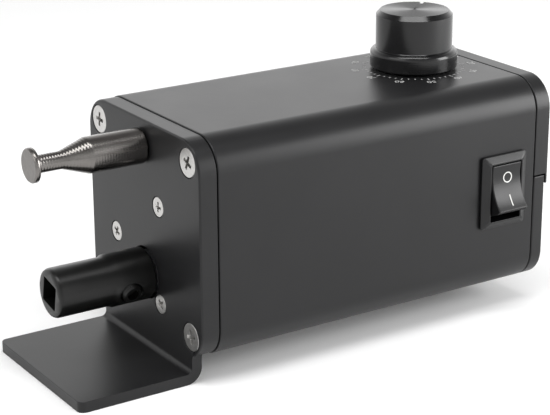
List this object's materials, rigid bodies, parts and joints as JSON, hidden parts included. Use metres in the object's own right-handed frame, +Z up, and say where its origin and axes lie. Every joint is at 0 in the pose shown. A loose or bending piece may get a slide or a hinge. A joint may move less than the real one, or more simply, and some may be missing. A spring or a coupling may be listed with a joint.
{
  "type": "geared motor drive unit",
  "caption": "Compact geared motor drive in a black square housing, with a drive socket and grooved locating pin at the front, a speed knob, a rocker switch and a bent mounting foot.",
  "frame": {"origin": "on the floor under the middle of the object's bounding box", "axes": "+Y from the drive socket to the rear covers, +Z up, +X to the right as seen from the front, the side with the rocker switch"},
  "size_m": [0.0658, 0.1502, 0.0839],
  "materials": {
    "black_coat": "matte",
    "black_steel": "satin",
    "black_anodised": "gloss",
    "turned_steel": "satin",
    "zinc_steel": "satin",
    "gear_steel": "satin",
    "cast_zinc": "matte",
    "bronze": "satin",
    "copper": "satin",
    "brass": "satin",
    "ferrite": "matte",
    "switch_plastic": "satin",
    "motor_plastic": "matte",
    "circuit_board": "satin",
    "rubber": "matte",
    "red_wire": "satin",
    "black_wire": "satin"
  },
  "bodies": {
    "case": {"housing": "black_coat", "front_plate": "black_coat", "rear_cover_upper": "black_coat", "rear_cover_lower": "black_coat", "corner_screw_1": "zinc_steel", "corner_screw_2": "zinc_steel", "corner_screw_3": "zinc_steel", "corner_screw_4": "zinc_steel", "motor_screw_1": "zinc_steel", "motor_screw_2": "zinc_steel", "motor_screw_3": "zinc_steel", "rear_screw_1": "zinc_steel", "rear_screw_2": "zinc_steel", "rear_screw_3": "zinc_steel", "rear_screw_4": "zinc_steel", "locating_pin": "turned_steel", "pin_washer": "zinc_steel", "pin_nut": "zinc_steel", "gearbox_flange": "cast_zinc", "gearbox_case": "cast_zinc", "output_bush": "bronze", "second_gear_pin": "gear_steel", "first_gear_pin": "gear_steel", "motor_can": "zinc_steel", "motor_magnet_1": "ferrite", "motor_magnet_2": "ferrite", "motor_end_cap": "motor_plastic", "motor_brush_1": "ferrite", "motor_brush_2": "ferrite", "motor_terminal_1": "brass", "motor_terminal_2": "brass", "speed_board": "circuit_board", "board_capacitor": "black_anodised", "heat_sink": "black_anodised", "terminal_block": "circuit_board", "potentiometer": "zinc_steel", "potentiometer_nut": "zinc_steel", "switch_body": "switch_plastic", "switch_terminal_1": "brass", "switch_terminal_2": "brass", "power_inlet": "switch_plastic", "power_inlet_nut": "zinc_steel", "rear_foot": "rubber", "rear_foot_screw": "zinc_steel", "motor_lead_red": "red_wire", "motor_lead_black": "black_wire", "supply_lead": "red_wire"},
    "rotor": {"motor_shaft": "turned_steel", "armature": "copper", "commutator": "copper", "motor_pinion": "bronze"},
    "first_gear": {"first_gear": "gear_steel"},
    "second_gear": {"second_gear": "gear_steel"},
    "drive": {"output_shaft": "turned_steel", "output_gear": "gear_steel", "drive_socket": "black_steel", "set_screw": "black_steel"},
    "knob": {"speed_knob": "black_anodised", "potentiometer_shaft": "brass"},
    "rocker": {"switch_rocker": "switch_plastic"}
  },
  "joints": [
    {"name": "motor_spin", "type": "hinge", "parent": "case", "child": "rotor", "pos_m": [-0.00294, 0, 0.0308], "axis": [0, 1, 0], "continuous": true},
    {"name": "first_gear_spin", "type": "hinge", "parent": "case", "child": "first_gear", "pos_m": [0.00124, -0.02, 0.0382], "axis": [0, 1, 0], "continuous": true},
    {"name": "second_gear_spin", "type": "hinge", "parent": "case", "child": "second_gear", "pos_m": [0.00533, -0.026, 0.03074], "axis": [0, 1, 0], "continuous": true},
    {"name": "drive_spin", "type": "hinge", "parent": "case", "child": "drive", "pos_m": [-0.00294, -0.05, 0.0238], "axis": [0, 1, 0], "continuous": true},
    {"name": "knob_turn", "type": "hinge", "parent": "case", "child": "knob", "pos_m": [-0.00514, 0.0483, 0.067], "axis": [0, 0, 1], "range_deg": [-300, 0]},
    {"name": "rocker_press", "type": "hinge", "parent": "case", "child": "rocker", "pos_m": [0.02476, 0.0557, 0.0373], "axis": [0, 1, 0], "range_deg": [0, 32]}
  ],
  "couplings": [
    {"joint": "first_gear_spin", "follows": "motor_spin", "ratio": -0.41667},
    {"joint": "second_gear_spin", "follows": "motor_spin", "ratio": 0.17361},
    {"joint": "drive_spin", "follows": "motor_spin", "ratio": -0.066774}
  ]
}
